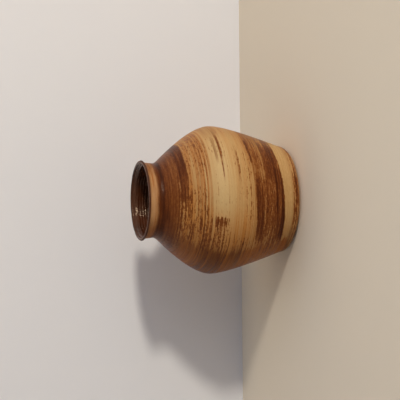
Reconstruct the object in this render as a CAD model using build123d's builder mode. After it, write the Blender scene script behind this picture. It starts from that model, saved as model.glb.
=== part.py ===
from build123d import *
import os
from math import radians, tan

os.makedirs("parts", exist_ok=True)

# Hanging wall vase: a thrown stoneware pot that hangs by its foot on two studs.
# Millimetres. The wall is the plane y = 0, the mouth points along -Y into the room, and +Z is up.
# The origin is on the wall, on the axis of the pot. Heights of the pot are distances from the wall.

# Outline of the pot
vase_length = 150.0
foot_r = 42.4
heel_r = 54.0
heel_height = 7.6
belly_r = 73.5
belly_height = 79.4
belly_easing_below = 16.4
belly_easing_above = 16.9
neck_r = 36.4
neck_length = 15.6
neck_flare = 0.85
lip_r = 39.5
lip_height = 6.0
lip_thickness = 3.4

# Walls of the pot
belly_wall = 5.0
neck_wall = 3.8
floor_thickness = 8.0
floor_corner_round = 9.0
recess_r = 34.0
recess_corner_round = 2.5

# Hanging hardware, in the order it lies from the wall
lift = 9.0
wall_plate_thickness = 3.0
wall_plate_clearance = 0.8
wall_screw_spacing = 36.0
wall_screw_hole_r = 2.25
wall_screw_head_r = 4.25
countersink_angle = 90.0
running_gap = 0.3
hanger_thickness = 3.0
hanger_clearance = 1.0
stud_spacing = 40.0
stud_shank_r = 2.5
stud_tail_r = 2.0
stud_tail_setback = 0.2
stud_head_r = 4.5
stud_head_thickness = 1.8
stud_head_chamfer = 0.5
keyhole_entry_clearance = 0.7
keyhole_slot_clearance = 0.25
bush_thickness = 3.7
bush_r = 11.0
gasket_thickness = 1.5
gasket_r = 12.5

# Clamp bolt and what it draws together
bolt_r = 2.5
bolt_head_r = 4.6
bolt_head_setback = 0.1
bolt_socket_flats = 3.0
bolt_socket_depth = 1.8
bolt_engagement = 6.0
bolt_hole_clearance = 0.3
floor_hole_clearance = 0.25
fit_clearance = 0.05
seal_washer_thickness = 1.5
seal_washer_r = 9.0
washer_thickness = 1.2
washer_r = 7.5
nut_flats = 8.0
nut_hex_height = 4.5
nut_height = 10.0
nut_bore_spare = 1.0

# Distances from the wall that the stack adds up to
hanger_back = wall_plate_thickness + running_gap
hanger_front = hanger_back + hanger_thickness
stud_head_back = hanger_front + running_gap
gasket_back = hanger_front + bush_thickness
recess_depth = gasket_back + gasket_thickness
floor_height = recess_depth + floor_thickness
washer_back = floor_height + seal_washer_thickness
nut_back = washer_back + washer_thickness
bolt_end = nut_back + bolt_engagement

# Points of the pot's outline that both of its skins are worked out from
neck_height = vase_length - neck_length
lip_start = vase_length - lip_height
lip_centre = vase_length - lip_thickness / 2
low_corner = belly_height - belly_easing_below
high_corner = belly_height + belly_easing_above
lip_start_r = neck_r + neck_flare
floor_hole_r = bolt_r + floor_hole_clearance
bolt_hole_r = bolt_r + bolt_hole_clearance

# Section through the axis: across is the distance from the wall, up is the radius
section = Plane(origin=(0, 0, 0), x_dir=(0, -1, 0), z_dir=(-1, 0, 0))


# Plane parallel to the wall at a distance from it, which looks into the room
def layer(distance):
    return Plane(origin=(0, -distance, 0), x_dir=(1, 0, 0), z_dir=(0, -1, 0))


# Flat ring that lies on the layer at the given distance
def ring(distance, thickness, outer_r, hole_r):
    with BuildPart() as flat_ring:
        with BuildSketch(layer(distance)):
            Circle(outer_r)
            Circle(hole_r, mode=Mode.SUBTRACT)
        extrude(amount=thickness)
    return flat_ring


# Pot: one closed section, turned about its axis
wall_rise = (belly_r - heel_r) / (low_corner - heel_height)
inner_corner = Vector(floor_height, heel_r + wall_rise * (floor_height - heel_height) - belly_wall)
inner_low_corner = Vector(low_corner, belly_r - belly_wall)
inner_wall_start = inner_corner + (inner_low_corner - inner_corner).normalized() * floor_corner_round
inner_neck_root = Vector(neck_height - neck_wall, neck_r - neck_wall)

with BuildPart() as vase_body:
    with BuildSketch(section):
        with BuildLine():
            # Foot ring and rounded heel
            Line((0, recess_r), (0, foot_r))
            Bezier((0, foot_r), (0, heel_r), (heel_height, heel_r))
            # Outer skin: wall, belly and shoulder, then the neck and its flared lip
            Bezier((heel_height, heel_r), (low_corner, belly_r), (belly_height, belly_r))
            Bezier((belly_height, belly_r), (high_corner, belly_r), (neck_height, neck_r))
            Line((neck_height, neck_r), (lip_start, lip_start_r))
            Bezier(
                (lip_start, lip_start_r),
                ((lip_start + lip_centre) / 2, lip_start_r),
                (lip_centre, lip_r),
            )
            # Rolled edge of the lip
            ThreePointArc(
                (lip_centre, lip_r),
                (vase_length, lip_r - lip_thickness / 2),
                (lip_centre, lip_r - lip_thickness),
            )
            # Inner skin, from the lip back to the floor
            Bezier(
                (lip_centre, lip_r - lip_thickness),
                ((lip_start + lip_centre) / 2, lip_start_r - neck_wall),
                (lip_start, lip_start_r - neck_wall),
            )
            Line((lip_start, lip_start_r - neck_wall), inner_neck_root)
            Bezier(
                inner_neck_root,
                (high_corner - neck_wall / 2, belly_r - belly_wall),
                (belly_height, belly_r - belly_wall),
            )
            Bezier((belly_height, belly_r - belly_wall), inner_low_corner, inner_wall_start)
            Bezier(inner_wall_start, inner_corner, inner_corner - Vector(0, floor_corner_round))
            # Floor with its drilled hole, and the recess that hides the fixings
            Line(inner_corner - Vector(0, floor_corner_round), (floor_height, floor_hole_r))
            Line((floor_height, floor_hole_r), (recess_depth, floor_hole_r))
            Line((recess_depth, floor_hole_r), (recess_depth, recess_r - recess_corner_round))
            RadiusArc(
                (recess_depth, recess_r - recess_corner_round),
                (recess_depth - recess_corner_round, recess_r),
                recess_corner_round,
            )
            Line((recess_depth - recess_corner_round, recess_r), (0, recess_r))
        make_face()
    revolve(axis=Axis.Y)
vase_body.part.label = "vase_body"
export_step(vase_body.part, "parts/vase_body.step")

# Wall plate: it stands half a lift above the pot's axis, so the foot ring clears it all the way up
wall_plate_r = recess_r - lift / 2 - wall_plate_clearance

with BuildPart(layer(wall_plate_thickness)) as wall_plate:
    with BuildSketch(layer(0)):
        with Locations((0, lift / 2)):
            Circle(wall_plate_r)
        with GridLocations(stud_spacing, 0, 2, 1):
            Circle(stud_tail_r + fit_clearance, mode=Mode.SUBTRACT)
    extrude(amount=wall_plate_thickness)
    with Locations((0, lift / 2 + wall_screw_spacing / 2), (0, lift / 2 - wall_screw_spacing / 2)):
        CounterSinkHole(wall_screw_hole_r, wall_screw_head_r, counter_sink_angle=countersink_angle)
wall_plate.part.label = "wall_plate"
export_step(wall_plate.part, "parts/wall_plate.step")

# Hanging studs: tail riveted through the plate, shank in the keyhole's slot, head in front of the hanger
with BuildPart() as hanging_studs:
    with BuildSketch(layer(stud_tail_setback)):
        with GridLocations(stud_spacing, 0, 2, 1):
            Circle(stud_tail_r)
    extrude(amount=wall_plate_thickness - stud_tail_setback)
    with BuildSketch(layer(wall_plate_thickness)):
        with GridLocations(stud_spacing, 0, 2, 1):
            Circle(stud_shank_r)
    extrude(amount=stud_head_back - wall_plate_thickness)
    with BuildSketch(layer(stud_head_back)):
        with GridLocations(stud_spacing, 0, 2, 1):
            Circle(stud_head_r)
    extrude(amount=stud_head_thickness)
    chamfer(hanging_studs.edges().group_by(Axis.Y)[0], stud_head_chamfer)
hanging_studs.part.label = "hanging_studs"
export_step(hanging_studs.part, "parts/hanging_studs.step")

# Hanger plate: the studs enter the round holes, and the plate drops until they stand at the slots' ends
entry_r = stud_head_r + keyhole_entry_clearance
slot_r = stud_shank_r + keyhole_slot_clearance

with BuildPart(-layer(hanger_back)) as hanger_plate:
    with BuildSketch(layer(hanger_back)):
        Circle(recess_r - hanger_clearance)
        with GridLocations(stud_spacing, 0, 2, 1):
            SlotCenterPoint((0, -lift / 2), (0, 0), 2 * slot_r, mode=Mode.SUBTRACT)
            with Locations((0, -lift)):
                Circle(entry_r, mode=Mode.SUBTRACT)
    extrude(amount=hanger_thickness)
    CounterSinkHole(bolt_hole_r, bolt_head_r, counter_sink_angle=countersink_angle)
hanger_plate.part.label = "hanger_plate"
export_step(hanger_plate.part, "parts/hanger_plate.step")

# Spacer bush: keeps the hanger at the mouth of the recess, and leaves the stud heads their room
spacer_bush = ring(hanger_front, bush_thickness, bush_r, bolt_hole_r)
spacer_bush.part.label = "spacer_bush"
export_step(spacer_bush.part, "parts/spacer_bush.step")

# Foot gasket: soft ring between the bush and the clay
foot_gasket = ring(gasket_back, gasket_thickness, gasket_r, bolt_hole_r)
foot_gasket.part.label = "foot_gasket"
export_step(foot_gasket.part, "parts/foot_gasket.step")

# Inner seal washer and steel washer, on the floor inside the pot
inner_seal_washer = ring(floor_height, seal_washer_thickness, seal_washer_r, bolt_hole_r)
inner_seal_washer.part.label = "inner_seal_washer"
export_step(inner_seal_washer.part, "parts/inner_seal_washer.step")

inner_washer = ring(washer_back, washer_thickness, washer_r, bolt_hole_r)
inner_washer.part.label = "inner_washer"
export_step(inner_washer.part, "parts/inner_washer.step")

# Clamp bolt: countersunk head in the hanger's back, with a hexagon socket that faces the wall
cone_slope = tan(radians(countersink_angle / 2))
bolt_back = hanger_back + bolt_head_setback
bolt_cone_r = bolt_head_r - bolt_head_setback * cone_slope - fit_clearance
bolt_cone_end = bolt_back + (bolt_cone_r - bolt_r) / cone_slope

with BuildPart() as clamp_bolt:
    with BuildSketch(section):
        Polygon(
            (bolt_back, 0),
            (bolt_back, bolt_cone_r),
            (bolt_cone_end, bolt_r),
            (bolt_end, bolt_r),
            (bolt_end, 0),
            align=None,
        )
    revolve(axis=Axis.Y)
    with BuildSketch(layer(bolt_back)):
        RegularPolygon(bolt_socket_flats / 2, 6, major_radius=False)
    extrude(amount=bolt_socket_depth, mode=Mode.SUBTRACT)
clamp_bolt.part.label = "clamp_bolt"
export_step(clamp_bolt.part, "parts/clamp_bolt.step")

# Cap nut: hexagon below, closed dome above, blind bore
dome_r = nut_flats / 2 - fit_clearance
dome_start = nut_back + nut_hex_height
nut_end = nut_back + nut_height

with BuildPart() as cap_nut:
    with BuildSketch(layer(nut_back)):
        RegularPolygon(nut_flats / 2, 6, major_radius=False)
    extrude(amount=nut_hex_height)
    with BuildSketch(section):
        with BuildLine():
            Line((dome_start, 0), (dome_start, dome_r))
            Bezier((dome_start, dome_r), (nut_end, dome_r), (nut_end, 0))
            Line((nut_end, 0), (dome_start, 0))
        make_face()
    revolve(axis=Axis.Y)
    with BuildSketch(layer(nut_back)):
        Circle(bolt_r + fit_clearance)
    extrude(amount=bolt_engagement + nut_bore_spare, mode=Mode.SUBTRACT)
cap_nut.part.label = "cap_nut"
export_step(cap_nut.part, "parts/cap_nut.step")
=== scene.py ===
from math import atan2, cos, pi, radians, sin

import bpy
from mathutils import Matrix, Vector


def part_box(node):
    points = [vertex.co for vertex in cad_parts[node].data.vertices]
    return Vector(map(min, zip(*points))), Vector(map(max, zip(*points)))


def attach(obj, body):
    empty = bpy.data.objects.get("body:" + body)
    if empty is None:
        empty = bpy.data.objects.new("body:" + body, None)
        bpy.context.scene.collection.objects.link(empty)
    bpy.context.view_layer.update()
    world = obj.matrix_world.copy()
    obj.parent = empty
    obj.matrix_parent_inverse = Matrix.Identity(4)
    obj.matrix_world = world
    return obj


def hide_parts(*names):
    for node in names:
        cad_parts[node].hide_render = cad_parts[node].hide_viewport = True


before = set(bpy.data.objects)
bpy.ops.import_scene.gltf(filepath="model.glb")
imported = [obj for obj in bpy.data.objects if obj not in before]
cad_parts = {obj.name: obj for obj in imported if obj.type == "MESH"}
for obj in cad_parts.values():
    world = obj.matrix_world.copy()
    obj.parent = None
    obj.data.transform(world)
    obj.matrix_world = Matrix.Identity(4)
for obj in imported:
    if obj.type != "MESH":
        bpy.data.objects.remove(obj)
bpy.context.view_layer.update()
scene = bpy.context.scene
scene.view_settings.view_transform = "Standard"

# Wall plate
# A disc of 3 mm steel sheet, laser cut and zinc plated, screwed to the wall inside the foot of the pot.
# The plating gives it a cool grey, faintly mottled satin face.
MM = 0.001


def linear(hex_colour):
    """A colour written as an sRGB hex value, as the linear RGBA that nodes take."""
    parts = [int(hex_colour[i : i + 2], 16) / 255 for i in (1, 3, 5)]
    return (*[p / 12.92 if p <= 0.04045 else ((p + 0.055) / 1.055) ** 2.4 for p in parts], 1.0)


def add_node(tree, kind, inputs, **settings):
    """Adds one node: its settings, then a value or a link for each named or numbered input."""
    node = tree.nodes.new(kind)
    for name, value in settings.items():
        setattr(node, name, value)
    for key, value in inputs.items():
        if isinstance(value, bpy.types.NodeSocket):
            tree.links.new(value, node.inputs[key])
        else:
            node.inputs[key].default_value = value
    return node


def new_material(name):
    """An empty node material and its tree."""
    material = bpy.data.materials.new(name)
    material.use_nodes = True
    material.node_tree.nodes.clear()
    return material, material.node_tree


def dress(node, material):
    """Gives a CAD node its finish."""
    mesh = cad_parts[node].data
    mesh.materials.clear()
    mesh.materials.append(material)


def metal_finish(name, dark, light, roughness, grain_mm, relief_mm, uneven=0.08):
    """A plain metal: two close tones in soft patches, which also vary its gloss and stand as faint relief.

    The scale of a pattern is how many of it lie in a metre, so it is 1000 over its size in millimetres.
    """
    material, tree = new_material(name)
    place = add_node(tree, "ShaderNodeTexCoord", {}).outputs["Object"]
    patches = add_node(
        tree, "ShaderNodeTexNoise", {"Vector": place, "Scale": 1000 / grain_mm, "Detail": 3.0}
    ).outputs[0]
    tone = add_node(
        tree, "ShaderNodeMix", {0: patches, 6: linear(dark), 7: linear(light)}, data_type="RGBA"
    ).outputs[2]
    rough = add_node(
        tree, "ShaderNodeMapRange", {0: patches, 3: roughness - uneven, 4: roughness + uneven}
    ).outputs[0]
    relief = add_node(
        tree, "ShaderNodeBump", {"Height": patches, "Distance": relief_mm * MM, "Strength": 0.5}
    ).outputs[0]
    shader = add_node(
        tree,
        "ShaderNodeBsdfPrincipled",
        {"Base Color": tone, "Metallic": 1.0, "Roughness": rough, "Normal": relief},
    )
    add_node(tree, "ShaderNodeOutputMaterial", {"Surface": shader.outputs[0]})
    return material


zinc_plated_steel = metal_finish("zinc_plated_steel", "#8E9296", "#B9BCBF", 0.38, 6.0, 0.03)
dress("wall_plate", zinc_plated_steel)

# Hanging studs
# Two shouldered studs turned from bright steel and riveted into the wall plate.
# Turning leaves them a little warmer, shinier and finer in grain than the plated sheet.
turned_steel = metal_finish("turned_bright_steel", "#85847F", "#ABA9A4", 0.28, 1.5, 0.01)
dress("hanging_studs", turned_steel)

# Hanger plate
# A disc of the same zinc plated sheet, laser cut with two keyholes that drop over the studs.
# The clamp bolt holds it in the recess of the pot's foot.
dress("hanger_plate", zinc_plated_steel)

# Spacer bush
# A short bush turned from aluminium bar, clamped between the hanger plate and the foot gasket.
# Turned aluminium is pale and satin. Its tool marks are too fine to show, so soft patches stand for them.
turned_aluminium = metal_finish("turned_aluminium", "#B4B4B6", "#D2D2D3", 0.34, 1.2, 0.01)
dress("spacer_bush", turned_aluminium)

# Foot gasket and inner seal washer
# Two washers punched from black rubber sheet, one under the bush and one on the floor inside the pot.
# They keep metal off the clay and close the drilled hole.
# Sheet rubber is matt and nearly black. Its grain is drawn coarser than it is, so that it shows.
rubber_grain_mm = 0.8
rubber_relief_mm = 0.05
black_rubber, tree = new_material("black_sheet_rubber")
place = add_node(tree, "ShaderNodeTexCoord", {}).outputs["Object"]
grain = add_node(
    tree, "ShaderNodeTexNoise", {"Vector": place, "Scale": 1000 / rubber_grain_mm}
).outputs[0]
tone = add_node(
    tree, "ShaderNodeMix", {0: grain, 6: linear("#161616"), 7: linear("#262524")}, data_type="RGBA"
).outputs[2]
relief = add_node(
    tree, "ShaderNodeBump", {"Height": grain, "Distance": rubber_relief_mm * MM, "Strength": 0.4}
).outputs[0]
shader = add_node(
    tree, "ShaderNodeBsdfPrincipled", {"Base Color": tone, "Roughness": 0.75, "Normal": relief}
)
add_node(tree, "ShaderNodeOutputMaterial", {"Surface": shader.outputs[0]})
dress("foot_gasket", black_rubber)
dress("inner_seal_washer", black_rubber)

# Pot
# Stoneware thrown on a wheel and turned at the foot, one wall from the foot ring to the rolled lip.
# Its section is drawn once and swept round the axis; shallow throwing rings run round both skins.
# Its sizes are in millimetres, and heights are measured from the wall.
foot_r = 42.4
heel_r = 54.0
heel_height = 7.6
belly_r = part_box("vase_body")[1].x / MM
belly_height = 79.4
belly_easing_below = 16.4
belly_easing_above = 16.9
pot_length = -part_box("vase_body")[0].y / MM
neck_r = 36.4
neck_length = 15.6
neck_height = pot_length - neck_length
neck_flare = 0.85
neck_root_round = 3.0
neck_root_flare = 0.2
lip_length = 6.0
lip_start = pot_length - lip_length
lip_start_r = neck_r + neck_flare
lip_r = 39.5
lip_thickness = 3.4
lip_half = lip_thickness / 2
lip_centre = pot_length - lip_half
lip_steps = 12
belly_wall = 5.0
neck_wall = 3.8
recess_r = 34.0
recess_round = 2.5
recess_round_steps = 5
floor_round = 9.0
floor_hole_r = 2.75
recess_depth = -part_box("foot_gasket")[0].y / MM
floor_height = -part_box("inner_seal_washer")[1].y / MM


def bend(start, corner, end, steps):
    """Points of a smooth bend that leaves start towards corner and comes into end from it.

    The start itself is left out.
    """
    points = []
    for i in range(1, steps + 1):
        t = i / steps
        points.append(
            tuple((1 - t) ** 2 * a + 2 * t * (1 - t) * b + t * t * c for a, b, c in zip(start, corner, end))
        )
    return points


def run(start, end, steps):
    """Points of a straight run; the start itself is left out."""
    return [tuple(a + (b - a) * i / steps for a, b in zip(start, end)) for i in range(1, steps + 1)]


low_corner = (belly_height - belly_easing_below, belly_r)
high_corner = (belly_height + belly_easing_above, belly_r)
wall_rise = (belly_r - heel_r) / (low_corner[0] - heel_height)
inner_belly_r = belly_r - belly_wall
inner_corner = Vector((floor_height, heel_r + wall_rise * (floor_height - heel_height) - belly_wall))
inner_low_corner = Vector((low_corner[0], inner_belly_r))
inner_high_corner = (high_corner[0] - neck_wall / 2, inner_belly_r)
inner_wall_start = inner_corner + (inner_low_corner - inner_corner).normalized() * floor_round
inner_floor_end = inner_corner - Vector((0, floor_round))
inner_neck_root = (neck_height - neck_wall, neck_r - neck_wall)
inner_lip_start = (lip_start, lip_start_r - neck_wall)
lip_mid = (lip_start + lip_centre) / 2
lip_inner_r = lip_r - lip_thickness

# Outside, from the foot ring to the lip: height, then radius
section = [(0.0, foot_r)]
section += bend((0, foot_r), (0, heel_r), (heel_height, heel_r), 12)
# The finger rings start above this row
heel_row = len(section) + 1
section += bend((heel_height, heel_r), low_corner, (belly_height, belly_r), 60)
shoulder = bend((belly_height, belly_r), high_corner, (neck_height, neck_r), 54)
section += [point for point in shoulder if point[0] < neck_height - neck_root_round]
neck_foot = (neck_height + neck_root_round, neck_r + neck_root_flare)
section += bend(section[-1], (neck_height, neck_r), neck_foot, 8)
section += run(neck_foot, (lip_start, lip_start_r), 6)
section += bend((lip_start, lip_start_r), (lip_mid, lip_start_r), (lip_centre, lip_r), 7)
# Rolled lip
for i in range(1, lip_steps + 1):
    turn = pi * i / lip_steps
    section.append((lip_centre + lip_half * sin(turn), lip_r - lip_half + lip_half * cos(turn)))
first_inside_row = len(section) - 1
crest_row = first_inside_row - lip_steps // 2
# Inside, back down to the floor
section += bend((lip_centre, lip_inner_r), (lip_mid, lip_start_r - neck_wall), inner_lip_start, 14)
section += run(inner_lip_start, inner_neck_root, 36)
section += bend(inner_neck_root, inner_high_corner, (belly_height, inner_belly_r), 88)
section += bend((belly_height, inner_belly_r), inner_low_corner, inner_wall_start, 26)
section += bend(inner_wall_start, inner_corner, inner_floor_end, 10)
section += run(inner_floor_end, (floor_height, floor_hole_r), 12)
last_inside_row = len(section) - 1
# Drilled hole, recess and foot ring
section += run((floor_height, floor_hole_r), (recess_depth, floor_hole_r), 3)
section += run((recess_depth, floor_hole_r), (recess_depth, recess_r - recess_round), 8)
for i in range(1, recess_round_steps + 1):
    turn = pi / 2 * i / recess_round_steps
    section.append(
        (recess_depth - recess_round * (1 - cos(turn)), recess_r - recess_round * (1 - sin(turn)))
    )
section += run(section[-1], (0, recess_r), 4)
section += run((0, recess_r), (0, foot_r), 4)

# The section as a curve: x holds the radius and y the height, in metres
section_curve = bpy.data.curves.new("pot_section", "CURVE")
section_curve.dimensions = "3D"
spline = section_curve.splines.new("POLY")
spline.points.add(len(section) - 1)
for point, (along, radius) in zip(spline.points, section):
    point.co = (radius * MM, along * MM, 0, 1)
section_object = bpy.data.objects.new("pot_section", section_curve)
scene.collection.objects.link(section_object)

# Brushed glaze: satin tan glaze, with iron-brown slip dragged round it on a wide, half-dry brush while the
# wheel turned. The slip is dark brown where the brush was wet, and breaks into fine lines where it was dry.
glaze_roughness = 0.48
slip_roughness = 0.32
glaze_relief_mm = 0.22
grain_in_relief = 0.6
brushed_glaze, tree = new_material("satin_glaze_with_brushed_iron_slip")
place = add_node(tree, "ShaderNodeTexCoord", {}).outputs["Object"]
axes = add_node(tree, "ShaderNodeSeparateXYZ", {0: place}).outputs
height = add_node(tree, "ShaderNodeMath", {0: axes["Y"], 1: -1000.0}, operation="MULTIPLY").outputs[0]
spoke = add_node(
    tree, "ShaderNodeVectorMath", {0: place, 1: (1.0, 0.0, 1.0)}, operation="MULTIPLY"
).outputs[0]
around = add_node(tree, "ShaderNodeVectorMath", {0: spoke}, operation="NORMALIZE").outputs[0]

# Brush lines: noise drawn out along the wheel as long lines and hairs, broken into dashes by the grain of
# the clay, and in wide lanes where the brush pressed more or less
line_length_mm = 150.0
line_width_mm = 1.5
hair_length_mm = 28.0
hair_width_mm = 1.0
hair_share = 0.42
dash_length_mm = 4.5
dash_width_mm = 1.0
grain_mm = 1.4
grain_share = 0.25
broken_share = 0.45
lane_length_mm = 80.0
lane_width_mm = 5.0


def brush_lines(length_mm, width_mm, detail):
    """Streaks that run round the pot: long one way, narrow along the axis."""
    scale = (1000 / length_mm, 1000 / width_mm, 1000 / length_mm)
    stretched = add_node(
        tree, "ShaderNodeVectorMath", {0: place, 1: scale}, operation="MULTIPLY"
    ).outputs[0]
    return add_node(
        tree, "ShaderNodeTexNoise", {"Vector": stretched, "Scale": 1.0, "Detail": detail, "Roughness": 0.55}
    ).outputs[0]


long_lines = brush_lines(line_length_mm, line_width_mm, 2.0)
hairs = brush_lines(hair_length_mm, hair_width_mm, 1.0)
dashes = brush_lines(dash_length_mm, dash_width_mm, 1.0)
grain = brush_lines(grain_mm, grain_mm, 0.0)
lanes = brush_lines(lane_length_mm, lane_width_mm, 2.0)
broken = add_node(tree, "ShaderNodeMix", {0: grain_share, 2: dashes, 3: grain}).outputs[0]
drawn = add_node(tree, "ShaderNodeMix", {0: hair_share, 2: long_lines, 3: hairs}).outputs[0]
lines = add_node(tree, "ShaderNodeMix", {0: broken_share, 2: drawn, 3: broken}).outputs[0]
lines = add_node(tree, "ShaderNodeMapRange", {0: lines, 1: 0.39, 2: 0.61}).outputs[0]

# Where the brush went. The slip bands lean a little, because the pot sat a little off level on the wheel.
lean_mm = 3.7
waver_mm = 1.2
wavers_per_radius = 2.2
sway = add_node(
    tree, "ShaderNodeTexNoise", {"Vector": around, "Scale": wavers_per_radius, "Detail": 3.0}
).outputs[0]
sway = add_node(tree, "ShaderNodeMath", {0: sway, 1: 0.5}, operation="SUBTRACT").outputs[0]
sway = add_node(
    tree, "ShaderNodeMath", {0: sway, 1: 2 * waver_mm, 2: height}, operation="MULTIPLY_ADD"
).outputs[0]
lean = add_node(
    tree, "ShaderNodeVectorMath", {0: around, 1: (0.0, 0.0, -lean_mm)}, operation="DOT_PRODUCT"
).outputs[1]
leaning = add_node(tree, "ShaderNodeMath", {0: sway, 1: lean}, operation="ADD").outputs[0]


def stroke(track, start_mm, end_mm, edge_mm, wet, middle_deg=None, half_span_deg=None, fade_deg=None):
    """How wet one stroke leaves the pot between two heights, all round or over a stretch in degrees.

    Degrees run round the axis, from the side that faces the camera up over the top. An edge or a fade is
    half of the way over which the stroke comes in or goes out.
    """
    rise = add_node(
        tree,
        "ShaderNodeMapRange",
        {0: track, 1: start_mm - edge_mm, 2: start_mm + edge_mm, 4: wet},
        interpolation_type="SMOOTHSTEP",
    ).outputs[0]
    fall = add_node(
        tree,
        "ShaderNodeMapRange",
        {0: track, 1: end_mm - edge_mm, 2: end_mm + edge_mm, 3: 1.0, 4: 0.0},
        interpolation_type="SMOOTHSTEP",
    ).outputs[0]
    wetness = add_node(tree, "ShaderNodeMath", {0: rise, 1: fall}, operation="MULTIPLY").outputs[0]
    if middle_deg is None:
        return wetness
    middle = (cos(radians(middle_deg)), 0.0, sin(radians(middle_deg)))
    facing = add_node(
        tree, "ShaderNodeVectorMath", {0: around, 1: middle}, operation="DOT_PRODUCT"
    ).outputs[1]
    reach = add_node(
        tree,
        "ShaderNodeMapRange",
        {0: facing, 1: cos(radians(half_span_deg + fade_deg)), 2: cos(radians(half_span_deg - fade_deg))},
        interpolation_type="SMOOTHSTEP",
    ).outputs[0]
    return add_node(tree, "ShaderNodeMath", {0: wetness, 1: reach}, operation="MULTIPLY").outputs[0]


def wettest(strokes):
    """Strokes laid over each other: the wettest counts at each place."""
    together = strokes[0]
    for other in strokes[1:]:
        together = add_node(
            tree, "ShaderNodeMath", {0: together, 1: other}, operation="MAXIMUM"
        ).outputs[0]
    return together


wetness = wettest(
    [
        # line on the heel
        stroke(height, 3.2, 9.4, 0.8, 0.45),
        stroke(height, 3.2, 9.4, 0.8, 0.9, -2.0, 32.0, 10.0),
        # wide band above the foot, laid in strokes side by side: wet at its edges, dry between them
        stroke(leaning, 20.4, 39.0, 0.8, 0.7),
        stroke(leaning, 20.4, 38.0, 0.8, 1.15, 36.0, 23.0, 14.0),
        stroke(leaning, 20.4, 30.0, 1.5, 1.38, -4.0, 40.0, 12.0),
        stroke(leaning, 30.0, 44.6, 1.5, 0.92, -5.0, 30.0, 12.0),
        stroke(leaning, 37.0, 52.6, 0.8, 0.52),
        stroke(leaning, 37.0, 48.0, 1.0, 0.74, 26.0, 20.0, 12.0),
        stroke(leaning, 43.5, 52.6, 1.2, 1.4, -9.0, 26.0, 14.0),
        stroke(leaning, 41.0, 46.0, 1.2, 0.9, 34.0, 8.0, 6.0),
        stroke(leaning, 50.2, 53.4, 0.8, 1.25, 43.0, 12.0, 7.0),
        # stray dry lines on the belly
        stroke(height, 54.0, 62.0, 2.5, 0.4, 10.0, 26.0, 16.0),
        stroke(height, 60.0, 100.0, 10.0, 0.1),
        stroke(height, 67.8, 70.0, 0.7, 0.6, 31.0, 11.0, 8.0),
        stroke(height, 83.4, 85.6, 0.6, 1.2, 47.0, 11.0, 7.0),
        stroke(height, 84.0, 85.4, 0.5, 0.85, 34.0, 14.0, 7.0),
        stroke(height, 96.6, 98.2, 0.5, 0.5, 46.0, 12.0, 8.0),
        # comb marks where the brush was set down
        stroke(height, 79.4, 93.2, 0.8, 0.6, -28.0, 14.0, 5.0),
        stroke(height, 58.0, 78.0, 3.0, 0.46, -40.0, 11.0, 6.0),
        stroke(height, 79.6, 93.2, 0.7, 0.86, -17.0, 3.2, 2.2),
        stroke(height, 89.8, 93.2, 0.6, 0.8, -18.0, 4.0, 3.0),
        stroke(height, 91.0, 93.4, 0.8, 0.95, -38.0, 8.0, 5.0),
        stroke(height, 99.4, 101.4, 0.8, 0.9, -38.0, 9.0, 5.0),
        stroke(height, 103.2, 105.4, 0.8, 0.95, -22.0, 5.0, 4.0),
        stroke(height, 56.0, 106.0, 8.0, 0.46, -62.0, 34.0, 12.0),
        # dry edge of the shoulder band, then the band itself up on to the neck
        stroke(height, 99.0, 116.5, 2.5, 0.24),
        stroke(height, 98.0, 114.0, 2.0, 0.37, 52.0, 34.0, 14.0),
        stroke(height, 98.5, 116.5, 2.0, 0.5, -20.0, 30.0, 14.0),
        stroke(height, 94.0, 124.0, 2.0, 0.6, -34.0, 18.0, 8.0),
        stroke(height, 111.0, 122.0, 2.0, 0.66, -8.0, 16.0, 9.0),
        stroke(sway, 114.4, 122.0, 0.8, 1.5, 62.0, 45.0, 22.0),
        stroke(sway, 115.0, 122.0, 1.0, 1.25, 18.0, 22.0, 10.0),
        stroke(sway, 120.0, 136.0, 4.5, 1.24),
        stroke(sway, 128.0, 148.0, 4.0, 1.12),
        stroke(sway, 132.5, 148.0, 2.0, 1.5, 32.0, 62.0, 22.0),
        stroke(sway, 126.0, 148.0, 4.0, 1.36, -50.0, 48.0, 20.0),
    ]
)
# The brush pressed harder in some places than in others, less so on the shoulder
shoulder_evenness = 0.85
press = add_node(tree, "ShaderNodeMapRange", {0: lanes, 1: 0.35, 2: 0.65, 3: 0.8, 4: 1.2}).outputs[0]
on_shoulder = add_node(
    tree, "ShaderNodeMapRange", {0: height, 1: 112.0, 2: 124.0, 4: shoulder_evenness}
).outputs[0]
press = add_node(tree, "ShaderNodeMix", {0: on_shoulder, 2: press, 3: 1.0}).outputs[0]
wetness = add_node(tree, "ShaderNodeMath", {0: wetness, 1: press}, operation="MULTIPLY").outputs[0]

# Slip shows where a brush line beats the dryness. The neck was wiped clean of it above the shoulder band.
dryness = add_node(tree, "ShaderNodeMath", {0: 1.0, 1: wetness}, operation="SUBTRACT").outputs[0]
lead = add_node(tree, "ShaderNodeMath", {0: lines, 1: dryness}, operation="SUBTRACT").outputs[0]
slip = add_node(
    tree, "ShaderNodeMapRange", {0: lead, 1: -0.14, 2: 0.24}, interpolation_type="SMOOTHSTEP"
).outputs[0]
wiped = add_node(
    tree,
    "ShaderNodeMapRange",
    {0: sway, 1: 138.6, 2: 142.0, 3: 1.0, 4: 0.0},
    interpolation_type="SMOOTHSTEP",
).outputs[0]
slip = add_node(tree, "ShaderNodeMath", {0: slip, 1: wiped}, operation="MULTIPLY").outputs[0]

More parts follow.
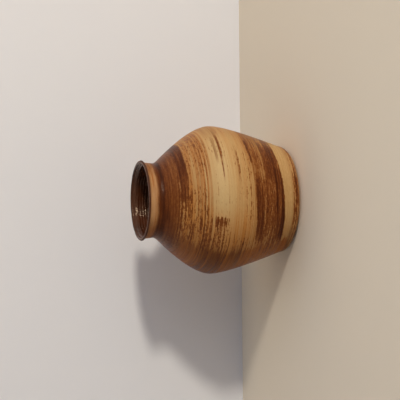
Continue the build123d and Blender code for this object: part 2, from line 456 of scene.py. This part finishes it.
# The slip is darker the thicker it lies. A dry brush leaves it thickest along the lines. Laid on wet, it
# pooled, so its tone follows the wetness too. The grain mottles it, less so on the shoulder.
pooling = 1.5
thin = add_node(tree, "ShaderNodeMapRange", {0: lead, 1: -0.1, 2: 1.3}).outputs[0]
settled = add_node(tree, "ShaderNodeMix", {0: on_shoulder, 2: long_lines, 3: lanes}).outputs[0]
pooled = add_node(
    tree, "ShaderNodeMath", {0: settled, 1: pooling, 2: wetness}, operation="MULTIPLY_ADD"
).outputs[0]
mottle = add_node(
    tree, "ShaderNodeMapRange", {0: on_shoulder, 2: shoulder_evenness, 3: 0.9, 4: 0.3}
).outputs[0]
mottled = add_node(tree, "ShaderNodeMath", {0: broken, 1: 0.5}, operation="SUBTRACT").outputs[0]
pooled = add_node(
    tree, "ShaderNodeMath", {0: mottled, 1: mottle, 2: pooled}, operation="MULTIPLY_ADD"
).outputs[0]
pooled = add_node(tree, "ShaderNodeMapRange", {0: pooled, 1: 1.48, 2: 2.5}).outputs[0]
laid_wet = add_node(
    tree, "ShaderNodeMapRange", {0: wetness, 1: 0.75, 2: 1.4, 4: 0.88}, interpolation_type="SMOOTHSTEP"
).outputs[0]
thickness = add_node(tree, "ShaderNodeMix", {0: laid_wet, 2: thin, 3: pooled}).outputs[0]
slip_tone = add_node(tree, "ShaderNodeValToRGB", {0: thickness})
ramp = slip_tone.color_ramp.elements
ramp[0].color = linear("#96602E")
ramp[1].color = linear("#3C1806")
for position, hex_colour in ((0.2, "#854D22"), (0.42, "#6D3916"), (0.66, "#57290E")):
    ramp.new(position).color = linear(hex_colour)

# Glaze: tan in soft streaks, with a paler patch on the belly that is a painted sheen of the lamp, warmer on
# the neck
lanes_in_glaze = 0.5
glaze_flow = add_node(tree, "ShaderNodeMix", {0: lanes_in_glaze, 2: lines, 3: lanes}).outputs[0]
glaze = add_node(
    tree, "ShaderNodeMix", {0: glaze_flow, 6: linear("#A67943"), 7: linear("#CBA36B")}, data_type="RGBA"
).outputs[2]
# Painted sheen: a paler patch on the belly where the lamp's broad highlight falls
painted_sheen = stroke(height, 72.0, 98.0, 12.0, 0.65, 16.0, 32.0, 25.0)
on_neck = add_node(tree, "ShaderNodeMapRange", {0: height, 1: 136.0, 2: 140.0}).outputs[0]
neck_tone = add_node(
    tree, "ShaderNodeMix", {0: lanes, 6: linear("#9C6E44"), 7: linear("#CC9C6C")}, data_type="RGBA"
).outputs[2]


def unevenly(cover, brush_marks, faintest, least):
    """A thin cover that drops to its least share where the brush marks are faintest."""
    share = add_node(
        tree, "ShaderNodeMapRange", {0: brush_marks, 1: faintest, 3: least, 4: 1.0}
    ).outputs[0]
    return add_node(tree, "ShaderNodeMath", {0: cover, 1: share}, operation="MULTIPLY").outputs[0]


# Wash: where the brush was nearly dry it still left a thin orange-brown film, in lines
faintest_wash = 0.1
broken_in_wash = 0.2
wash_lines = add_node(tree, "ShaderNodeMix", {0: broken_in_wash, 2: drawn, 3: broken}).outputs[0]
wash_lines = add_node(
    tree, "ShaderNodeMapRange", {0: wash_lines, 1: 0.42, 2: 0.58, 3: faintest_wash, 4: 1.0}
).outputs[0]
wash = wettest(
    [
        stroke(height, -2.0, 10.5, 1.5, 0.8),
        stroke(leaning, 26.0, 56.0, 3.0, 1.0),
        stroke(height, 97.0, 119.0, 10.0, 0.6),
        stroke(height, 58.0, 112.0, 12.0, 0.6, 100.0, 30.0, 20.0),
        stroke(height, 139.0, 143.0, 1.0, 0.7),
        stroke(height, 143.0, 147.5, 1.2, 0.9, 45.0, 24.0, 15.0),
    ]
)
wash = add_node(tree, "ShaderNodeMath", {0: wash, 1: wash_lines}, operation="MULTIPLY").outputs[0]
# Broad soft streaks of the same film, strong towards the shoulder and faint over the belly, and a warmer
# film low on the near side, partly brush film and partly painted warm bounce light on the shaded lower side
lines_in_broad = 0.62
broad_lines = add_node(tree, "ShaderNodeMix", {0: lines_in_broad, 2: lanes, 3: long_lines}).outputs[0]
broad_lines = add_node(tree, "ShaderNodeMapRange", {0: broad_lines, 1: 0.45, 2: 0.57}).outputs[0]
broad = wettest([stroke(height, 95.0, 118.0, 4.0, 0.75), stroke(height, 50.0, 82.0, 8.0, 0.32)])
broad = add_node(tree, "ShaderNodeMath", {0: broad, 1: broad_lines}, operation="MULTIPLY").outputs[0]
# Partly painted warm bounce light: a brighter orange film where the lower near side is in shade
warm_film_and_bounce_light = wettest(
    [
        stroke(height, 56.0, 114.0, 7.0, 0.7, -40.0, 22.0, 18.0),
        stroke(height, 107.0, 124.0, 4.0, 0.5, -22.0, 30.0, 14.0),
    ]
)
warm_film_and_bounce_light = unevenly(warm_film_and_bounce_light, broad_lines, 0.0, 0.55)
# Soft wet lines, drawn with the tip of a full brush
wet_line = wettest(
    [
        stroke(height, 83.4, 85.8, 0.9, 0.95, 50.0, 18.0, 10.0),
        stroke(height, 84.0, 85.2, 0.8, 0.8, 32.0, 14.0, 7.0),
        stroke(height, 84.4, 85.6, 0.9, 0.7, 72.0, 16.0, 10.0),
        stroke(height, 87.6, 89.8, 0.8, 1.0, 45.0, 10.0, 8.0),
        stroke(height, 69.2, 70.4, 0.7, 0.5, 30.0, 14.0, 9.0),
        stroke(height, 101.0, 102.2, 0.8, 0.5, 62.0, 26.0, 12.0),
        stroke(height, 104.6, 105.6, 0.7, 0.45, 40.0, 40.0, 20.0),
        stroke(leaning, 37.0, 53.0, 1.5, 0.7, 40.0, 48.0, 16.0),
        stroke(height, 96.6, 97.8, 0.7, 0.4, 44.0, 20.0, 12.0),
        stroke(height, 137.0, 150.0, 1.0, 0.85, 92.0, 40.0, 16.0),
        stroke(height, 79.0, 93.0, 4.0, 0.3, 78.0, 18.0, 10.0),
    ]
)
wet_line = unevenly(wet_line, wash_lines, faintest_wash, 0.5)
# Underneath, the film closes up with a ragged edge into one cloudy coat, darkened there as painted shade of
# the underside
broken_in_streaks = 0.3
raggedness = 2.4
lines_in_clouds = 0.3
streaks = add_node(tree, "ShaderNodeMix", {0: broken_in_streaks, 2: drawn, 3: broken}).outputs[0]
ragged = add_node(tree, "ShaderNodeMath", {0: streaks, 1: 0.5}, operation="SUBTRACT").outputs[0]
closed = stroke(height, 8.0, 128.0, 6.0, 1.0, -90.0, 48.0, 13.0)
closed = add_node(
    tree, "ShaderNodeMath", {0: ragged, 1: raggedness, 2: closed}, operation="MULTIPLY_ADD"
).outputs[0]
closed = add_node(
    tree, "ShaderNodeMapRange", {0: closed, 1: 0.35, 2: 0.7}, interpolation_type="SMOOTHSTEP"
).outputs[0]
# Partly painted shade: this coat darkens the underside, which the lamp leaves in shade
underside_coat_and_shade = wettest([stroke(height, 10.0, 126.0, 6.0, 0.4, -90.0, 60.0, 18.0), closed])
underside_coat_and_shade = unevenly(underside_coat_and_shade, wash_lines, faintest_wash, 0.8)
underside_coat_and_shade = wettest([underside_coat_and_shade, stroke(height, 137.0, 148.0, 2.0, 0.75, -85.0, 45.0, 22.0)])
clouds = add_node(tree, "ShaderNodeMix", {0: lines_in_clouds, 2: lanes, 3: drawn}).outputs[0]
clouds = add_node(tree, "ShaderNodeMapRange", {0: clouds, 1: 0.38, 2: 0.6}).outputs[0]
underside_tone_and_shade = add_node(
    tree, "ShaderNodeMix", {0: clouds, 6: linear("#9C561A"), 7: linear("#69320E")}, data_type="RGBA"
).outputs[2]
# A second, darker coat, partly painted shade of the underside, and dark streaks lie over it there
dark_coat_and_shade = wettest(
    [
        stroke(height, 60.0, 100.0, 8.0, 0.7, -76.0, 34.0, 7.0),
        stroke(height, -5.0, 10.5, 2.0, 0.9, -76.0, 42.0, 9.0),
    ]
)
dark_coat_and_shade = unevenly(dark_coat_and_shade, clouds, 0.0, 0.35)
ran = stroke(height, 54.0, 106.0, 8.0, 0.9, -68.0, 34.0, 14.0)
flecks = add_node(tree, "ShaderNodeMapRange", {0: streaks, 1: 0.5, 2: 0.64, 4: 0.8}).outputs[0]
flecks = add_node(tree, "ShaderNodeMath", {0: flecks, 1: ran}, operation="MULTIPLY").outputs[0]
# Small iron specks, melted out of the clay
speck_spacing_mm = 10.0
speck_size_mm = 0.45
speck_edge = speck_size_mm / speck_spacing_mm
to_speck = add_node(
    tree, "ShaderNodeTexVoronoi", {"Vector": place, "Scale": 1000 / speck_spacing_mm}
).outputs["Distance"]
speck = add_node(
    tree, "ShaderNodeMapRange", {0: to_speck, 1: 0.5 * speck_edge, 2: speck_edge, 3: 0.8, 4: 0.0}
).outputs[0]
# Lip: dark glaze from the inside comes over the roll, worn thin on its crest
on_roll = add_node(tree, "ShaderNodeMapRange", {0: height, 1: 147.6, 2: 148.4}).outputs[0]
on_crest = add_node(tree, "ShaderNodeMapRange", {0: height, 1: 149.5, 2: 149.9}).outputs[0]

# All of it in order, from the tan glaze up: how far each layer covers, and its colour
colour = glaze
for cover, layer_colour in (
    # painted sheen on the belly
    (painted_sheen, linear("#C6A672")),
    (on_neck, neck_tone),
    (wash, linear("#94561F")),
    (broad, linear("#A3622A")),
    (warm_film_and_bounce_light, linear("#B6702A")),
    (wet_line, linear("#743C0E")),
    (underside_coat_and_shade, underside_tone_and_shade),
    (speck, linear("#5A3216")),
    (slip, slip_tone.outputs[0]),
    (dark_coat_and_shade, linear("#522707")),
    (flecks, linear("#44210B")),
    (on_roll, linear("#4A2A1B")),
    (on_crest, linear("#6C4C3C")),
):
    colour = add_node(
        tree, "ShaderNodeMix", {0: cover, 6: colour, 7: layer_colour}, data_type="RGBA"
    ).outputs[2]
rough = add_node(
    tree, "ShaderNodeMapRange", {0: slip, 3: glaze_roughness, 4: slip_roughness}
).outputs[0]
skin = add_node(
    tree, "ShaderNodeMath", {0: grain, 1: grain_in_relief, 2: lines}, operation="MULTIPLY_ADD"
).outputs[0]
relief = add_node(
    tree, "ShaderNodeBump", {"Height": skin, "Distance": glaze_relief_mm * MM, "Strength": 0.6}
).outputs[0]
shader = add_node(
    tree,
    "ShaderNodeBsdfPrincipled",
    {
        "Base Color": colour,
        "Roughness": rough,
        "Specular IOR Level": 0.13,
        "Specular Tint": linear("#F8E8D6"),
        "Normal": relief,
    },
)
add_node(tree, "ShaderNodeOutputMaterial", {"Surface": shader.outputs[0]})

# Inner glaze: a dark brown iron glaze poured round the inside. It is glossy and rippled, almost black where
# it is thick and red-brown where it is thin.
pool_mm = 14.0
ripple_mm = 1.6
ripple_share = 0.95
inner_relief_mm = 0.6
inner_glaze, tree = new_material("glossy_dark_iron_glaze")
place = add_node(tree, "ShaderNodeTexCoord", {}).outputs["Object"]
pools = add_node(
    tree, "ShaderNodeTexNoise", {"Vector": place, "Scale": 1000 / pool_mm, "Detail": 3.0}
).outputs[0]
tone = add_node(
    tree, "ShaderNodeMix", {0: pools, 6: linear("#241009"), 7: linear("#562A14")}, data_type="RGBA"
).outputs[2]
ripple = add_node(
    tree, "ShaderNodeTexNoise", {"Vector": place, "Scale": 1000 / ripple_mm, "Detail": 1.0}
).outputs[0]
skin = add_node(
    tree, "ShaderNodeMath", {0: ripple, 1: ripple_share, 2: pools}, operation="MULTIPLY_ADD"
).outputs[0]
relief = add_node(
    tree, "ShaderNodeBump", {"Height": skin, "Distance": inner_relief_mm * MM, "Strength": 0.5}
).outputs[0]
shader = add_node(
    tree,
    "ShaderNodeBsdfPrincipled",
    {
        "Base Color": tone,
        "Roughness": 0.27,
        "Specular IOR Level": 0.44,
        "Specular Tint": linear("#EBCBAB"),
        "Normal": relief,
    },
)
add_node(tree, "ShaderNodeOutputMaterial", {"Surface": shader.outputs[0]})

# Bare foot: the foot ring and its recess are left unglazed, so they show the fired clay, which is buff, matt
# and slightly gritty. The grit is drawn coarser than it is, so that it shows.
grit_mm = 0.7
grit_relief_mm = 0.2
bare_clay, tree = new_material("bare_buff_stoneware")
place = add_node(tree, "ShaderNodeTexCoord", {}).outputs["Object"]
grit = add_node(
    tree, "ShaderNodeTexNoise", {"Vector": place, "Scale": 1000 / grit_mm, "Detail": 4.0}
).outputs[0]
tone = add_node(
    tree, "ShaderNodeMix", {0: grit, 6: linear("#9C7C5A"), 7: linear("#C2A27C")}, data_type="RGBA"
).outputs[2]
relief = add_node(
    tree, "ShaderNodeBump", {"Height": grit, "Distance": grit_relief_mm * MM, "Strength": 0.5}
).outputs[0]
shader = add_node(
    tree, "ShaderNodeBsdfPrincipled", {"Base Color": tone, "Roughness": 0.85, "Normal": relief}
)
add_node(tree, "ShaderNodeOutputMaterial", {"Surface": shader.outputs[0]})

# Throwing: sweeps the section round the axis, then presses in shallow finger rings along both skins
pot_segments = 240
ring_pitch_mm = 6.0
ring_depth_mm = 0.12
inner_ring_pitch_mm = 2.7
inner_ring_depth_mm = 0.36
ring_wander_turn = 5.0
ring_wanders_per_m = 90.0
lightest_press = 0.3
turned_to_mm = 55.0
rings_full_from_mm = 90.0
seam_gap_mm = 0.01
sharp_edge = radians(40)
throwing = bpy.data.node_groups.new("throwing", "GeometryNodeTree")
throwing.interface.new_socket("Geometry", in_out="OUTPUT", socket_type="NodeSocketGeometry")
inputs = {}
for name, kind, value in (
    ("Section", "NodeSocketObject", section_object),
    ("Segments", "NodeSocketInt", pot_segments),
    ("Heel row", "NodeSocketInt", heel_row),
    ("Crest row", "NodeSocketInt", crest_row),
    ("First inside row", "NodeSocketInt", first_inside_row),
    ("Last inside row", "NodeSocketInt", last_inside_row),
    ("Ring pitch", "NodeSocketFloat", ring_pitch_mm * MM),
    ("Ring depth", "NodeSocketFloat", ring_depth_mm * MM),
    ("Inner ring pitch", "NodeSocketFloat", inner_ring_pitch_mm * MM),
    ("Inner ring depth", "NodeSocketFloat", inner_ring_depth_mm * MM),
):
    inputs[throwing.interface.new_socket(name, in_out="INPUT", socket_type=kind).identifier] = value
given = add_node(throwing, "NodeGroupInput", {}).outputs
outline = add_node(throwing, "GeometryNodeObjectInfo", {0: given["Section"]}).outputs["Geometry"]
stations = add_node(throwing, "GeometryNodeCurveToPoints", {0: outline}, mode="EVALUATED").outputs[0]
rows = add_node(
    throwing, "GeometryNodeAttributeDomainSize", {0: stations}, component="POINTCLOUD"
).outputs[0]
columns = add_node(throwing, "ShaderNodeMath", {0: given["Segments"], 1: 1.0}, operation="ADD").outputs[0]
sheet = add_node(
    throwing,
    "GeometryNodeMeshGrid",
    {"Size X": 1.0, "Size Y": 1.0, "Vertices X": columns, "Vertices Y": rows},
).outputs[0]
position = add_node(throwing, "GeometryNodeInputPosition", {}).outputs[0]
share = add_node(
    throwing, "ShaderNodeVectorMath", {0: position, 1: (0.5, 0.5, 0.0)}, operation="ADD"
).outputs[0]
share = add_node(throwing, "ShaderNodeSeparateXYZ", {0: share}).outputs
last_row = add_node(throwing, "ShaderNodeMath", {0: rows, 1: 1.0}, operation="SUBTRACT").outputs[0]
row = add_node(throwing, "ShaderNodeMath", {0: share["Y"], 1: last_row}, operation="MULTIPLY").outputs[0]
row = add_node(throwing, "ShaderNodeMath", {0: row}, operation="ROUND").outputs[0]
station = add_node(
    throwing,
    "GeometryNodeSampleIndex",
    {"Geometry": stations, "Value": position, "Index": row},
    data_type="FLOAT_VECTOR",
    domain="POINT",
).outputs[0]
station = add_node(throwing, "ShaderNodeSeparateXYZ", {0: station}).outputs
angle = add_node(throwing, "ShaderNodeMath", {0: share["X"], 1: 2 * pi}, operation="MULTIPLY").outputs[0]
across = add_node(throwing, "ShaderNodeMath", {0: angle}, operation="COSINE").outputs[0]
across = add_node(
    throwing, "ShaderNodeMath", {0: across, 1: station["X"]}, operation="MULTIPLY"
).outputs[0]
upward = add_node(throwing, "ShaderNodeMath", {0: angle}, operation="SINE").outputs[0]
upward = add_node(
    throwing, "ShaderNodeMath", {0: upward, 1: station["X"]}, operation="MULTIPLY"
).outputs[0]
outward = add_node(
    throwing, "ShaderNodeMath", {0: station["Y"], 1: -1.0}, operation="MULTIPLY"
).outputs[0]
swept = add_node(throwing, "ShaderNodeCombineXYZ", {0: across, 1: outward, 2: upward}).outputs[0]
kept_row = add_node(
    throwing,
    "GeometryNodeStoreNamedAttribute",
    {"Geometry": sheet, "Name": "row", "Value": row},
    data_type="FLOAT",
    domain="POINT",
).outputs[0]
pot = add_node(throwing, "GeometryNodeSetPosition", {"Geometry": kept_row, "Position": swept}).outputs[0]
pot = add_node(
    throwing, "GeometryNodeMergeByDistance", {"Geometry": pot, "Distance": seam_gap_mm * MM}
).outputs[0]
row = add_node(throwing, "GeometryNodeInputNamedAttribute", {"Name": "row"}, data_type="FLOAT").outputs[0]
# Finger rings: one spiral groove up each skin, deeper here and shallower there, turned away below the belly.
# They only press into the clay, so the pot never grows past its section.
inside = add_node(
    throwing, "FunctionNodeCompare", {0: row, 1: given["First inside row"]}, operation="GREATER_THAN"
).outputs[0]
pitch = add_node(
    throwing,
    "GeometryNodeSwitch",
    {0: inside, 1: given["Ring pitch"], 2: given["Inner ring pitch"]},
    input_type="FLOAT",
).outputs[0]
deepest = add_node(
    throwing,
    "GeometryNodeSwitch",
    {0: inside, 1: given["Ring depth"], 2: given["Inner ring depth"]},
    input_type="FLOAT",
).outputs[0]
point = add_node(throwing, "ShaderNodeSeparateXYZ", {0: position}).outputs
turn = add_node(throwing, "ShaderNodeMath", {0: point["Z"], 1: point["X"]}, operation="ARCTAN2").outputs[0]
turns = add_node(throwing, "ShaderNodeMath", {0: point["Y"], 1: pitch}, operation="DIVIDE").outputs[0]
phase = add_node(
    throwing, "ShaderNodeMath", {0: turns, 1: 2 * pi, 2: turn}, operation="MULTIPLY_ADD"
).outputs[0]
wander = add_node(
    throwing, "ShaderNodeTexNoise", {"Vector": position, "Scale": ring_wanders_per_m, "Detail": 1.0}
).outputs[0]
phase = add_node(
    throwing, "ShaderNodeMath", {0: wander, 1: ring_wander_turn, 2: phase}, operation="MULTIPLY_ADD"
).outputs[0]
rings = add_node(throwing, "ShaderNodeMath", {0: phase}, operation="SINE").outputs[0]
rings = add_node(throwing, "ShaderNodeMapRange", {0: rings, 1: -1.0, 2: 1.0}).outputs[0]
pressure = add_node(
    throwing, "ShaderNodeMapRange", {0: wander, 1: 0.35, 2: 0.65, 3: lightest_press, 4: 1.0}
).outputs[0]
ring_growth = add_node(
    throwing,
    "ShaderNodeMapRange",
    {0: point["Y"], 1: -turned_to_mm * MM, 2: -rings_full_from_mm * MM},
).outputs[0]
rings = add_node(throwing, "ShaderNodeMath", {0: rings, 1: pressure}, operation="MULTIPLY").outputs[0]
rings = add_node(throwing, "ShaderNodeMath", {0: rings, 1: ring_growth}, operation="MULTIPLY").outputs[0]
normal = add_node(throwing, "GeometryNodeInputNormal", {}).outputs[0]
dent = add_node(throwing, "ShaderNodeMath", {0: deepest, 1: -1.0}, operation="MULTIPLY").outputs[0]
dent = add_node(throwing, "ShaderNodeMath", {0: dent, 1: rings}, operation="MULTIPLY").outputs[0]
dent = add_node(throwing, "ShaderNodeVectorMath", {0: normal, "Scale": dent}, operation="SCALE").outputs[0]
above_heel = add_node(
    throwing, "FunctionNodeCompare", {0: row, 1: given["Heel row"]}, operation="GREATER_THAN"
).outputs[0]
above_hole = add_node(
    throwing, "FunctionNodeCompare", {0: row, 1: given["Last inside row"]}, operation="LESS_THAN"
).outputs[0]
on_skins = add_node(
    throwing, "FunctionNodeBooleanMath", {0: above_heel, 1: above_hole}, operation="AND"
).outputs[0]
pot = add_node(
    throwing, "GeometryNodeSetPosition", {"Geometry": pot, "Selection": on_skins, "Offset": dent}
).outputs[0]
pot = add_node(throwing, "GeometryNodeSetShadeSmooth", {"Geometry": pot}, domain="FACE").outputs[0]
bent = add_node(throwing, "GeometryNodeInputMeshEdgeAngle", {}).outputs[0]
sharp = add_node(
    throwing, "FunctionNodeCompare", {0: bent, 1: sharp_edge}, operation="GREATER_THAN"
).outputs[0]
pot = add_node(
    throwing,
    "GeometryNodeSetShadeSmooth",
    {"Geometry": pot, "Selection": sharp, "Shade Smooth": False},
    domain="EDGE",
).outputs[0]
# Glazed outside, dark inside from the crest of the lip down, bare from the drilled hole on
pot = add_node(throwing, "GeometryNodeRealizeInstances", {"Geometry": pot}).outputs[0]
pot = add_node(throwing, "GeometryNodeSetMaterial", {"Geometry": pot, "Material": brushed_glaze}).outputs[0]
for start_row, material in (("Crest row", inner_glaze), ("Last inside row", bare_clay)):
    past = add_node(
        throwing, "FunctionNodeCompare", {0: row, 1: given[start_row]}, operation="GREATER_THAN"
    ).outputs[0]
    pot = add_node(
        throwing, "GeometryNodeSetMaterial", {"Geometry": pot, "Selection": past, "Material": material}
    ).outputs[0]
add_node(throwing, "NodeGroupOutput", {0: pot})

# The thrown shape as a plain mesh at the origin
pot_body = bpy.data.objects.new("pot", bpy.data.meshes.new("pot_host"))
scene.collection.objects.link(pot_body)
shape = pot_body.modifiers.new("shape", "NODES")
shape.node_group = throwing
for identifier, value in inputs.items():
    shape[identifier] = value
ready = pot_body.evaluated_get(bpy.context.evaluated_depsgraph_get())
pot_mesh = bpy.data.meshes.new_from_object(ready)
pot_mesh.name = "pot"
pot_body.modifiers.remove(shape)
pot_body.data = pot_mesh
bpy.data.objects.remove(section_object)
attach(pot_body, "vase")
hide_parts("vase_body")

# Inner washer, clamp bolt and cap nut
# Plain stainless fasteners. The countersunk bolt comes through from the wall side, and the washer and the
# domed nut draw it tight on the floor inside the pot.
# Plain stainless is a warm satin grey, smoother than the plated sheet.
stainless_steel = metal_finish("plain_stainless_steel", "#8F8D8A", "#B5B3AF", 0.26, 2.0, 0.01)
for fastener in ("inner_washer", "clamp_bolt", "cap_nut"):
    dress(fastener, stainless_steel)

# Stage
# The wall that the part hangs on, a wall beside it and a floor, all in plain pale paint and sized in metres.
# The walls show only their faces, so that the part can be seen from behind them. The patch of wall inside
# the foot's edge also lets light through, so that the fixings can be seen from there.
side_wall_x = -0.131
wall_y = 0.0002
floor_z = -2.4
stage_reach = 4.0
top_z = floor_z + stage_reach
far_x = side_wall_x + stage_reach
front_y = wall_y - stage_reach
patch_r = 0.0415
patch_sides = 96
roller_mm = 2.0
roller_relief_mm = 0.1
hanging_wall_colour = "#ECDBC0"
backdrop_colour = "#D9D6D1"


def plaster(name, hex_colour, lets_light_by=False):
    """Matt paint rolled on plaster: flat, pale and faintly stippled.

    It is clear to the camera from behind, and a patch of it may let light by as well.
    """
    material, tree = new_material(name)
    place = add_node(tree, "ShaderNodeTexCoord", {}).outputs["Object"]
    roll = add_node(
        tree, "ShaderNodeTexNoise", {"Vector": place, "Scale": 1000 / roller_mm, "Detail": 2.0}
    ).outputs[0]
    relief = add_node(
        tree, "ShaderNodeBump", {"Height": roll, "Distance": roller_relief_mm * MM, "Strength": 0.2}
    ).outputs[0]
    paint = add_node(
        tree,
        "ShaderNodeBsdfPrincipled",
        {"Base Color": linear(hex_colour), "Roughness": 0.9, "Normal": relief},
    ).outputs[0]
    back = add_node(tree, "ShaderNodeNewGeometry", {}).outputs["Backfacing"]
    seen = add_node(tree, "ShaderNodeLightPath", {}).outputs["Is Camera Ray"]
    if lets_light_by:
        unseen = add_node(tree, "ShaderNodeMath", {0: 1.0, 1: seen}, operation="SUBTRACT").outputs[0]
        clear = add_node(tree, "ShaderNodeMath", {0: back, 1: unseen}, operation="MAXIMUM").outputs[0]
    else:
        clear = add_node(tree, "ShaderNodeMath", {0: back, 1: seen}, operation="MULTIPLY").outputs[0]
    open_air = add_node(tree, "ShaderNodeBsdfTransparent", {}).outputs[0]
    surface = add_node(tree, "ShaderNodeMixShader", {0: clear, 1: paint, 2: open_air}).outputs[0]
    add_node(tree, "ShaderNodeOutputMaterial", {"Surface": surface})
    return material


def panel(name, corners, faces, material):
    """One flat stage panel. Its face looks to the side from which the corners run anticlockwise."""
    mesh = bpy.data.meshes.new(name)
    mesh.from_pydata(corners, [], faces)
    mesh.materials.append(material)
    wall = bpy.data.objects.new(name, mesh)
    scene.collection.objects.link(wall)


# The hanging wall goes round the patch, from its edge out to the wall's own edges
wall_corners = [(side_wall_x, floor_z), (far_x, floor_z), (far_x, top_z), (side_wall_x, top_z)]
bearings = [2 * pi * side / patch_sides for side in range(patch_sides)]
bearings = sorted(bearings + [atan2(z, x) % (2 * pi) for x, z in wall_corners])
patch_edge = []
wall_edge = []
for bearing in bearings:
    x = cos(bearing)
    z = sin(bearing)
    reach = 1 / max(x / far_x, x / side_wall_x, z / top_z, z / floor_z)
    patch_edge.append((patch_r * x, wall_y, patch_r * z))
    wall_edge.append((reach * x, wall_y, reach * z))
count = len(bearings)
panel(
    "hanging_wall",
    patch_edge + wall_edge,
    [(i, count + i, count + (i + 1) % count, (i + 1) % count) for i in range(count)],
    plaster("hanging_wall_paint", hanging_wall_colour),
)
panel(
    "wall_patch",
    patch_edge,
    [range(count)],
    plaster("wall_patch_paint", hanging_wall_colour, lets_light_by=True),
)
panel(
    "side_wall",
    [
        (side_wall_x, front_y, floor_z),
        (side_wall_x, wall_y, floor_z),
        (side_wall_x, wall_y, top_z),
        (side_wall_x, front_y, top_z),
    ],
    [(0, 1, 2, 3)],
    plaster("side_wall_paint", "#E6E1DC"),
)
# The floor lies far below, out of reach of the part's shadow. To the camera it is as pale as the backdrop.
floor_paint, tree = new_material("floor_paint")
matt = add_node(tree, "ShaderNodeBsdfDiffuse", {"Color": linear("#E0DDD8")}).outputs[0]
plain = add_node(
    tree, "ShaderNodeEmission", {"Color": linear(backdrop_colour), "Strength": 1.0}
).outputs[0]
seen = add_node(tree, "ShaderNodeLightPath", {}).outputs["Is Camera Ray"]
floor_surface = add_node(tree, "ShaderNodeMixShader", {0: seen, 1: matt, 2: plain}).outputs[0]
add_node(tree, "ShaderNodeOutputMaterial", {"Surface": floor_surface})
panel(
    "floor",
    [
        (side_wall_x, front_y, floor_z),
        (far_x, front_y, floor_z),
        (far_x, wall_y, floor_z),
        (side_wall_x, wall_y, floor_z),
    ],
    [(0, 1, 2, 3)],
    floor_paint,
)

# Camera
# Level with the pot's axis and looking along the wall, as in the photograph.
# Its place, roll and focal length were fitted to the outline of the pot there.
camera_azimuth = radians(73.11)
camera_elevation = radians(0.15)
camera_roll = radians(-0.59)
camera_distance = 1.1
aim = Vector((0, -0.0879, 0))
frame_pixels = 400
focal_pixels = 1104.1
sensor_mm = 36.0
camera_data = bpy.data.cameras.new("camera")
camera_data.sensor_width = sensor_mm
camera_data.lens = focal_pixels / frame_pixels * sensor_mm
camera = bpy.data.objects.new("camera", camera_data)
scene.collection.objects.link(camera)
back = Vector(
    (
        sin(camera_azimuth) * cos(camera_elevation),
        -cos(camera_azimuth) * cos(camera_elevation),
        sin(camera_elevation),
    )
)
level = (-back).to_track_quat("-Z", "Y").to_matrix().to_4x4()
rolled = level @ Matrix.Rotation(camera_roll, 4, "Z")
camera.matrix_world = Matrix.Translation(aim + back * camera_distance) @ rolled
scene.camera = camera

# Light
# One warm, square soft lamp stands above and in front.
# Its direction and distance were fitted to the shadow that the pot throws on the two walls.
lamp_toward = Vector((1.0, -0.33, 0.85)).normalized()
lamp_distance = 2.17
lamp_side = 0.17
lamp_watts = 24.8
lamp_colour = (1.0, 0.98, 0.92)
lamp_data = bpy.data.lights.new("key_lamp", "AREA")
lamp_data.shape = "SQUARE"
lamp_data.size = lamp_side
lamp_data.energy = lamp_watts
lamp_data.color = lamp_colour
lamp = bpy.data.objects.new("key_lamp", lamp_data)
scene.collection.objects.link(lamp)
lamp_turn = lamp_toward.to_track_quat("Z", "Y").to_matrix().to_4x4()
lamp.matrix_world = Matrix.Translation(aim + lamp_toward * lamp_distance) @ lamp_turn

# All round is a pale sky, dark from below. Behind the walls, which keep its light from the front, it is pale
# at every height. To the camera and in reflections it is the plain backdrop.
sky_strength = 1.12
sky_full_at = 0.6
behind_from = 0.2
behind_full_at = 0.5
world = bpy.data.worlds.new("studio")
scene.world = world
world.use_nodes = True
tree = world.node_tree
tree.nodes.clear()
direction = add_node(tree, "ShaderNodeTexCoord", {}).outputs["Generated"]
direction = add_node(tree, "ShaderNodeSeparateXYZ", {0: direction}).outputs
behind = add_node(
    tree, "ShaderNodeMapRange", {0: direction["Y"], 1: behind_from, 2: behind_full_at}
).outputs[0]
up = add_node(tree, "ShaderNodeMath", {0: direction["Z"], 1: behind}, operation="ADD").outputs[0]
shade = add_node(tree, "ShaderNodeMapRange", {0: up, 2: sky_full_at, 4: sky_strength}).outputs[0]
tint = add_node(
    tree, "ShaderNodeMix", {0: behind, 6: linear("#D8E4FF"), 7: linear("#E6E4E0")}, data_type="RGBA"
).outputs[2]
sky = add_node(tree, "ShaderNodeBackground", {"Color": tint, "Strength": shade}).outputs[0]
backdrop = add_node(
    tree, "ShaderNodeBackground", {"Color": linear(backdrop_colour), "Strength": 1.0}
).outputs[0]
ray = add_node(tree, "ShaderNodeLightPath", {}).outputs
seen = ray["Is Camera Ray"]
for kind in ("Is Glossy Ray", "Is Transmission Ray"):
    seen = add_node(tree, "ShaderNodeMath", {0: seen, 1: ray[kind]}, operation="MAXIMUM").outputs[0]
surround = add_node(tree, "ShaderNodeMixShader", {0: seen, 1: sky, 2: backdrop}).outputs[0]
add_node(tree, "ShaderNodeOutputWorld", {"Surface": surround})
